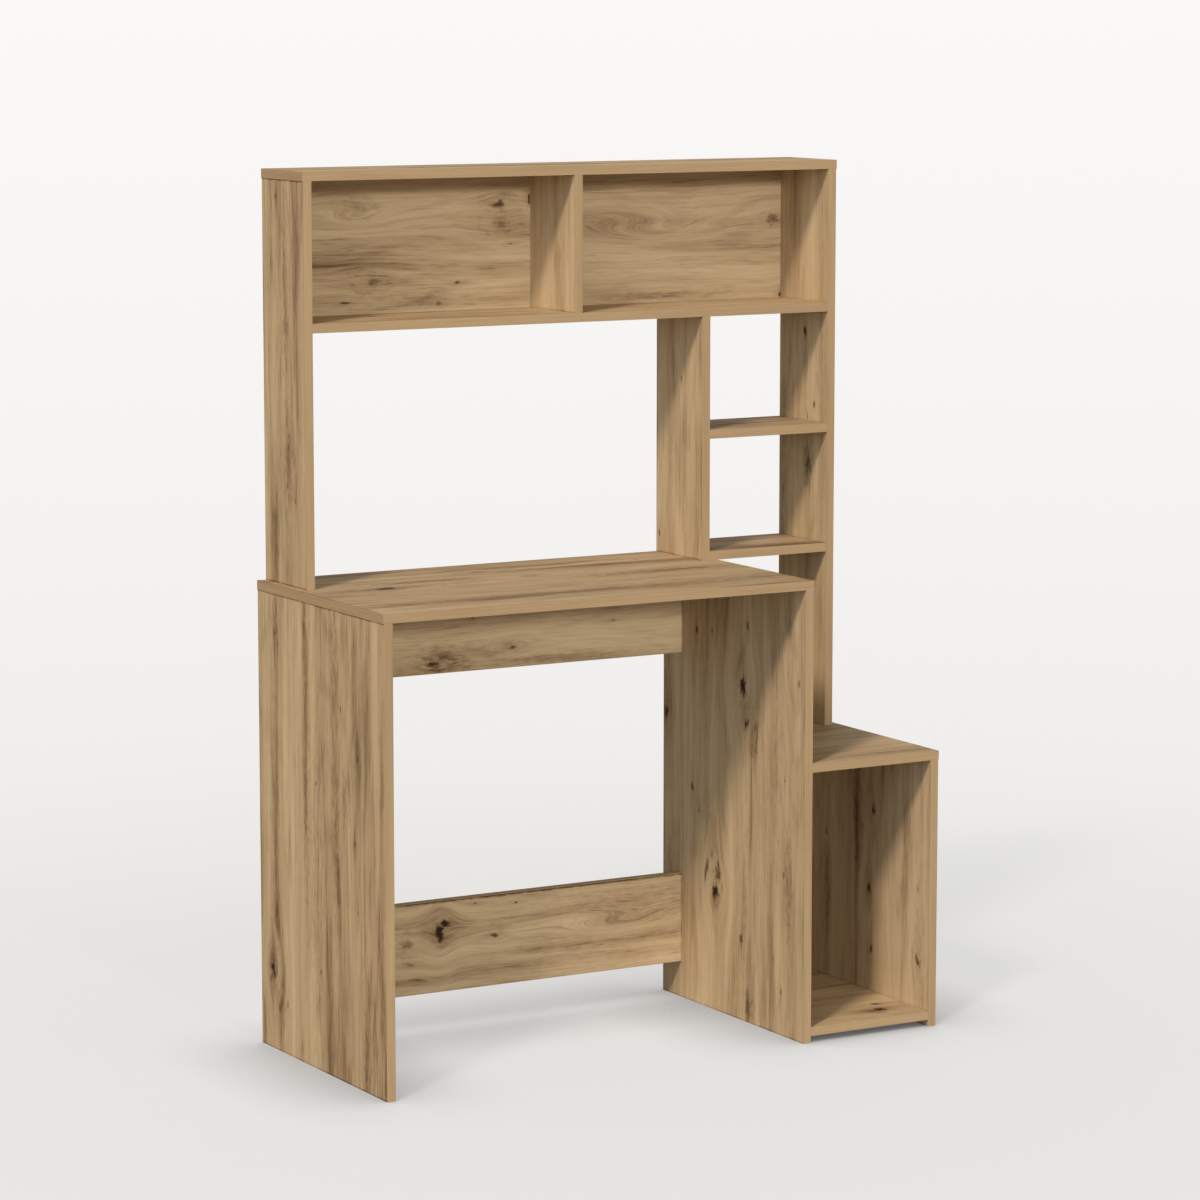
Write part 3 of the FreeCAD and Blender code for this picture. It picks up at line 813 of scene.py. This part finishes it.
def band_material(name, axes):
    """A plain oak edge strip, whose fine lines run along the strip also where it turns a corner."""
    material, graph, shader = new_material(name)
    place = graph.place()
    along_board = grain_place(graph, place, axes)
    along_end = grain_place(graph, place, END_STRIP)
    mixed = graph.mix_vector(facing_share(graph, END_STRIP[2]), along_board, along_end)
    wander = graph.swing(graph.noise(mixed, *STRIP_WANDER_NOISE))
    along, across, through = graph.split(mixed)
    shifted = graph.join(along, graph.math("MULTIPLY_ADD", wander, STRIP_WANDER_REACH, across), through)
    tone = graph.noise(shifted, *STRIP_TONE_NOISE)
    line = graph.noise(shifted, *STRIP_LINE_NOISE)
    light = graph.math("MULTIPLY_ADD", graph.swing(tone), STRIP_TONE_WEIGHT, STRIP_LIGHT)
    light = graph.math("MULTIPLY_ADD", graph.swing(line), STRIP_LINE_WEIGHT, light, clamp=True)
    colour = graph.ramp(light, STRIP_STOPS)
    roughness = graph.math("MULTIPLY_ADD", line, STRIP_ROUGHNESS_BY_LINE, STRIP_ROUGHNESS)
    finish_shader(graph, shader, colour, roughness, line, STRIP_BUMP)
    return material


def metal_material(name, dark, pale, least_roughness):
    """Dull plated metal with fine cast or drawn texture."""
    material, graph, shader = new_material(name)
    shader.inputs["Metallic"].default_value = 1.0
    place = graph.place()
    grit = graph.noise(place, *GRIT_NOISE)
    cloud = graph.noise(place, *CLOUD_NOISE)
    tone = graph.math("MULTIPLY_ADD", cloud, CLOUD_WEIGHT, graph.math("MULTIPLY", grit, GRIT_WEIGHT))
    roughness = graph.math("MULTIPLY_ADD", grit, METAL_ROUGHNESS_BY_GRIT, least_roughness)
    finish_shader(graph, shader, graph.two_tone(tone, dark, pale), roughness, grit, METAL_BUMP)
    return material


def dowel_material():
    """Turned beech with short flecks."""
    material, graph, shader = new_material("beech_dowel_finish")
    fleck = graph.noise(graph.place(), *FLECK_NOISE)
    colour = graph.two_tone(fleck, BEECH_DARK, BEECH_PALE)
    roughness = graph.math("MULTIPLY_ADD", fleck, BEECH_ROUGHNESS_BY_FLECK, BEECH_ROUGHNESS)
    finish_shader(graph, shader, colour, roughness, fleck, DOWEL_BUMP)
    return material


def dress(node, material):
    """Gives a node its one material."""
    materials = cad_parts[node].data.materials
    materials.clear()
    materials.append(material)


def round_edges(node):
    """Eases a strip's sharp edges, as a trimmer does, which leaves a fine groove beside the board."""
    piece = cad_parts[node]
    weld = piece.modifiers.new("weld", "WELD")
    weld.merge_threshold = WELD_REACH
    bevel = piece.modifiers.new("eased_edges", "BEVEL")
    bevel.width = EASED_WIDTH
    bevel.segments = EASED_STEPS
    bevel.limit_method = "ANGLE"
    bevel.angle_limit = SHARP_ANGLE


def dress_boards():
    """Dresses each board in its own print, its strips to suit its grain, and the back sheet."""
    strips = {axes: band_material(name, axes) for axes, name in STRIP_NAMES.items()}
    for step, (node, axes) in enumerate(BOARD_AXES.items()):
        dress(node, board_material(node, axes, step))
        dress(node + "_edge_band", strips[axes])
        round_edges(node + "_edge_band")
    dress(BACK_SHEET, back_sheet_material(len(BOARD_AXES)))


def dress_hardware():
    """Dresses the dowels in beech, the cams in zinc, and the other fasteners in steel."""
    dress("dowels", dowel_material())
    dress("cams", metal_material("zinc_cam_finish", *ZINC))
    steel = metal_material("steel_fastener_finish", *STEEL)
    for node in STEEL_NODES:
        dress(node, steel)


def add_lamp(name, way, strength, angle, tint):
    """A far lamp whose light travels that way."""
    data = bpy.data.lights.new(name, "SUN")
    data.energy = strength
    data.color = tint
    data.angle = angle
    lamp = bpy.data.objects.new(name, data)
    lamp.rotation_euler = Vector(way).to_track_quat("-Z", "Y").to_euler()
    bpy.context.scene.collection.objects.link(lamp)
    return lamp


def seen_rays(graph):
    """1 for what the camera sees straight, in metal or through glass, and 0 for light that spreads."""
    path = graph.add("ShaderNodeLightPath").outputs
    mirrored = graph.math("MAXIMUM", path["Is Glossy Ray"], path["Is Transmission Ray"])
    return graph.math("MAXIMUM", path["Is Camera Ray"], mirrored)


def light_scene():
    """Four lamps, and a dome that lights the desk softly while it looks as pale as the floor."""
    add_lamp("key_lamp", KEY_WAY, KEY_STRENGTH, KEY_ANGLE, KEY_TINT)
    add_lamp("front_lamp", FRONT_WAY, FRONT_STRENGTH, FRONT_ANGLE, FRONT_TINT)
    add_lamp("fill_lamp", FILL_WAY, FILL_STRENGTH, FILL_ANGLE, FILL_TINT)
    rear = add_lamp("rear_lamp", REAR_WAY, REAR_STRENGTH, REAR_ANGLE, REAR_TINT)
    # No sheen from behind on the flat boards
    rear.visible_glossy = False
    world = bpy.data.worlds.new("studio")
    world.use_nodes = True
    bpy.context.scene.world = world
    graph = Graph(world.node_tree)
    background = world.node_tree.nodes["Background"]
    height = graph.split(graph.add("ShaderNodeTexCoord").outputs["Generated"])[2]
    overhead = graph.smooth(height, 0.0, 1.0)
    drop = AROUND_STRENGTH * (OVERHEAD_SHARE - 1)
    level = graph.math("MULTIPLY_ADD", overhead, drop, AROUND_STRENGTH)
    tinted = graph.vector("MULTIPLY", graph.even(level), AROUND_TINT)
    dome = graph.mix(seen_rays(graph), tinted, paint(BACKDROP_COLOUR))
    graph.tree.links.new(dome, background.inputs["Color"])


def floor_material():
    """Pale paint that glows for the most part, so that the desk's shadow stays soft. Clear from below."""
    material = bpy.data.materials.new("floor_paint")
    material.use_nodes = True
    material.node_tree.nodes.clear()
    graph = Graph(material.node_tree)
    place = graph.add("ShaderNodeNewGeometry").outputs["Position"]
    away = graph.add("ShaderNodeVectorMath", {0: place}, operation="LENGTH").outputs["Value"]
    fall = graph.math("DIVIDE", BACKDROP_FALL, graph.math("ADD", away, BACKDROP_REACH))
    backdrop = graph.vector("SUBTRACT", BACKDROP_COLOUR, graph.even(fall))
    # Contact shade close to the desk
    reach = {"Distance": CONTACT_REACH}
    bare = graph.add("ShaderNodeAmbientOcclusion", reach, samples=CONTACT_SAMPLES).outputs["AO"]
    bare = graph.math("MULTIPLY_ADD", bare, CONTACT_SHADE, 1 - CONTACT_SHADE)
    shaded = graph.vector("MULTIPLY", backdrop, graph.even(bare))
    glow = graph.add("ShaderNodeEmission", {"Color": shaded})
    # Matt paint, which takes the shadow near the desk
    seen = seen_rays(graph)
    paleness = graph.mix(seen, paint(FLOOR_BOUNCE), paint(FLOOR_ALBEDO))
    matt = graph.add("ShaderNodeBsdfDiffuse", {"Color": paleness})
    near = graph.math("SUBTRACT", 1.0, graph.smooth(away, FLOOR_SHADE_NEAR, FLOOR_SHADE_FAR))
    share = graph.math("MULTIPLY_ADD", near, FLOOR_GLOW_SHARE - 1, 1.0)
    share = graph.math("MULTIPLY", seen, share)
    painted = graph.add("ShaderNodeMixShader", {0: share, 1: matt.outputs[0], 2: glow.outputs[0]})
    # Nothing from below, so that the underside of the desk can be seen
    clear = graph.add("ShaderNodeBsdfTransparent")
    under = graph.add("ShaderNodeNewGeometry").outputs["Backfacing"]
    shown = graph.add("ShaderNodeMixShader", {0: under, 1: painted.outputs[0], 2: clear.outputs[0]})
    graph.add("ShaderNodeOutputMaterial", {"Surface": shown.outputs[0]})
    return material


def add_floor():
    """A wide pale floor under the desk."""
    half = FLOOR_SIZE / 2
    corners = [(-half, -half, 0.0), (half, -half, 0.0), (half, half, 0.0), (-half, half, 0.0)]
    mesh = bpy.data.meshes.new("floor")
    mesh.from_pydata(corners, [], [(0, 1, 2, 3)])
    floor = bpy.data.objects.new("floor", mesh)
    bpy.context.scene.collection.objects.link(floor)
    mesh.materials.append(floor_material())


def add_camera():
    """The photo's viewing angle, with a level horizon and no shift."""
    data = bpy.data.cameras.new("camera")
    data.lens = CAMERA_LENS
    data.sensor_width = SENSOR_WIDTH
    data.clip_end = FLOOR_SIZE
    camera = bpy.data.objects.new("camera", data)
    camera.location = CAMERA_PLACE
    camera.rotation_euler = Euler((math.pi / 2 - CAMERA_PITCH, 0.0, -CAMERA_YAW))
    bpy.context.scene.collection.objects.link(camera)
    bpy.context.scene.camera = camera


bpy.context.scene.view_settings.view_transform = "Standard"
mark_group = make_mark_group()
arch_group = make_arch_group()
figure_group = make_figure_group()
chip_group = make_chip_group()
dress_boards()
dress_hardware()
light_scene()
add_floor()
add_camera()
